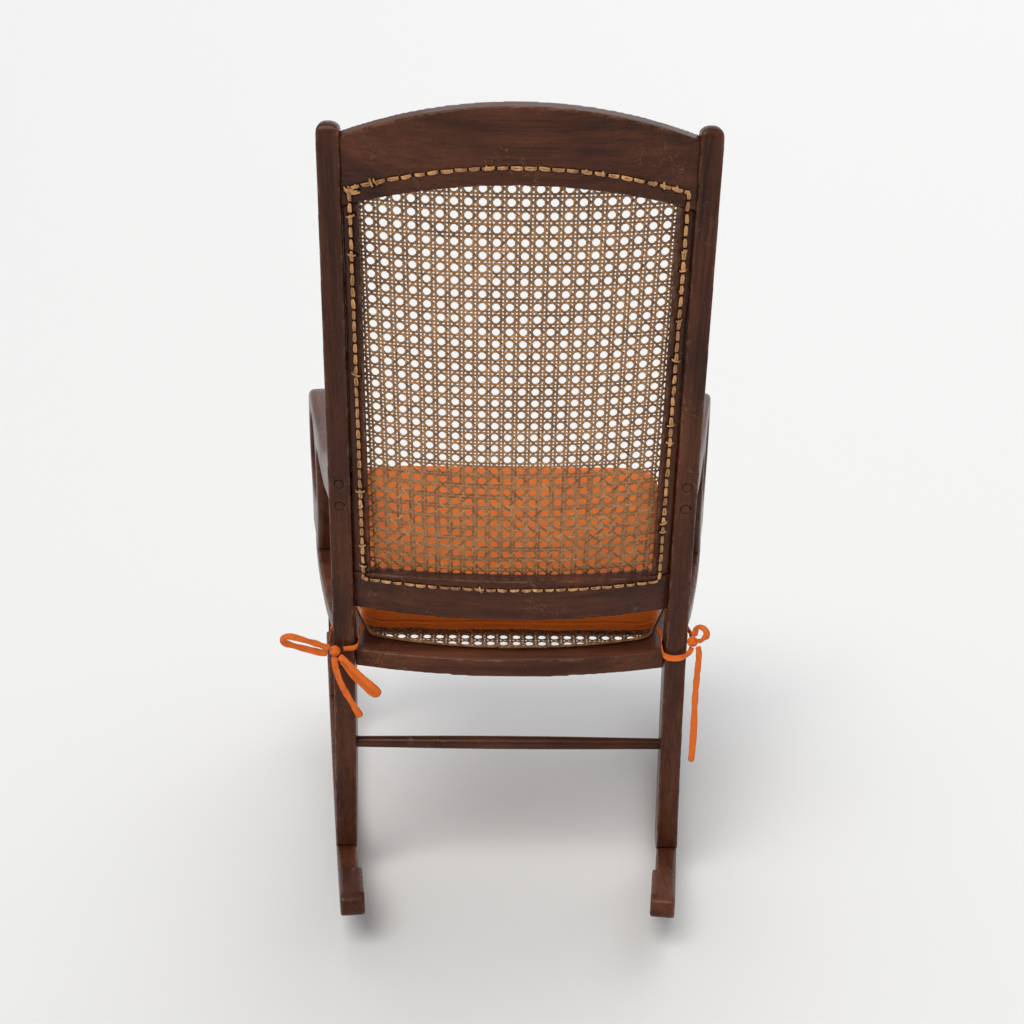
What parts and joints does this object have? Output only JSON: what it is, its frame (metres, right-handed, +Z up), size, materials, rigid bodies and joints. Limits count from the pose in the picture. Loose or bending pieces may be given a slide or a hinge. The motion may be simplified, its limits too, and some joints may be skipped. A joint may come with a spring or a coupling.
{
  "type": "rocking chair",
  "caption": "Wooden rocking chair with a bowed cane back, cane seat, open scroll arms, long curved rockers and a padded seat cushion tied to the back posts.",
  "frame": {"origin": "on the floor under the middle of the chair's overall length and width", "axes": "+Z up, +Y towards the back of the chair, +X towards the sitter's left"},
  "size_m": [0.616, 0.8212, 1.1105],
  "materials": {
    "walnut": "glossy dark red-brown varnish, worn at the arrises",
    "cane": "woven strip cane, six-way pattern, aged tan",
    "cushion_cloth": "burnt orange cotton cover with piped seam",
    "ribbon": "flat satin ribbon, lighter orange",
    "screw_steel": "plain steel wood screws"
  },
  "bodies": {
    "root": {"crest_rail": "walnut", "lower_back_rail": "walnut", "seat_rear_rail": "walnut", "seat_front_rail": "walnut", "rear_stretcher": "walnut", "front_stretcher": "walnut", "left_back_post": "walnut", "left_back_stile": "walnut", "left_seat_rail": "walnut", "left_arm": "walnut", "left_arm_scroll": "walnut", "left_rocker": "walnut", "left_front_leg": "walnut", "left_upper_arm_plug": "walnut", "left_lower_arm_plug": "walnut", "left_scroll_dowel": "walnut", "left_post_dowel": "walnut", "left_leg_dowel": "walnut", "left_upper_arm_screw": "screw_steel", "left_lower_arm_screw": "screw_steel", "right_back_post": "walnut", "right_back_stile": "walnut", "right_seat_rail": "walnut", "right_arm": "walnut", "right_arm_scroll": "walnut", "right_rocker": "walnut", "right_front_leg": "walnut", "right_upper_arm_plug": "walnut", "right_lower_arm_plug": "walnut", "right_scroll_dowel": "walnut", "right_post_dowel": "walnut", "right_leg_dowel": "walnut", "right_upper_arm_screw": "screw_steel", "right_lower_arm_screw": "screw_steel", "back_cane": "cane", "seat_cane": "cane", "seat_binder": "cane", "cushion": "cushion_cloth", "left_tie_inner": "ribbon", "left_tie_outer": "ribbon", "left_tie_upper_loop": "ribbon", "left_tie_lower_loop": "ribbon", "left_tie_tail": "ribbon", "right_tie_inner": "ribbon", "right_tie_outer": "ribbon", "right_tie_loop": "ribbon", "right_tie_tail": "ribbon", "left_tie_knot": "ribbon", "right_tie_knot": "ribbon"}
  },
  "joints": []
}
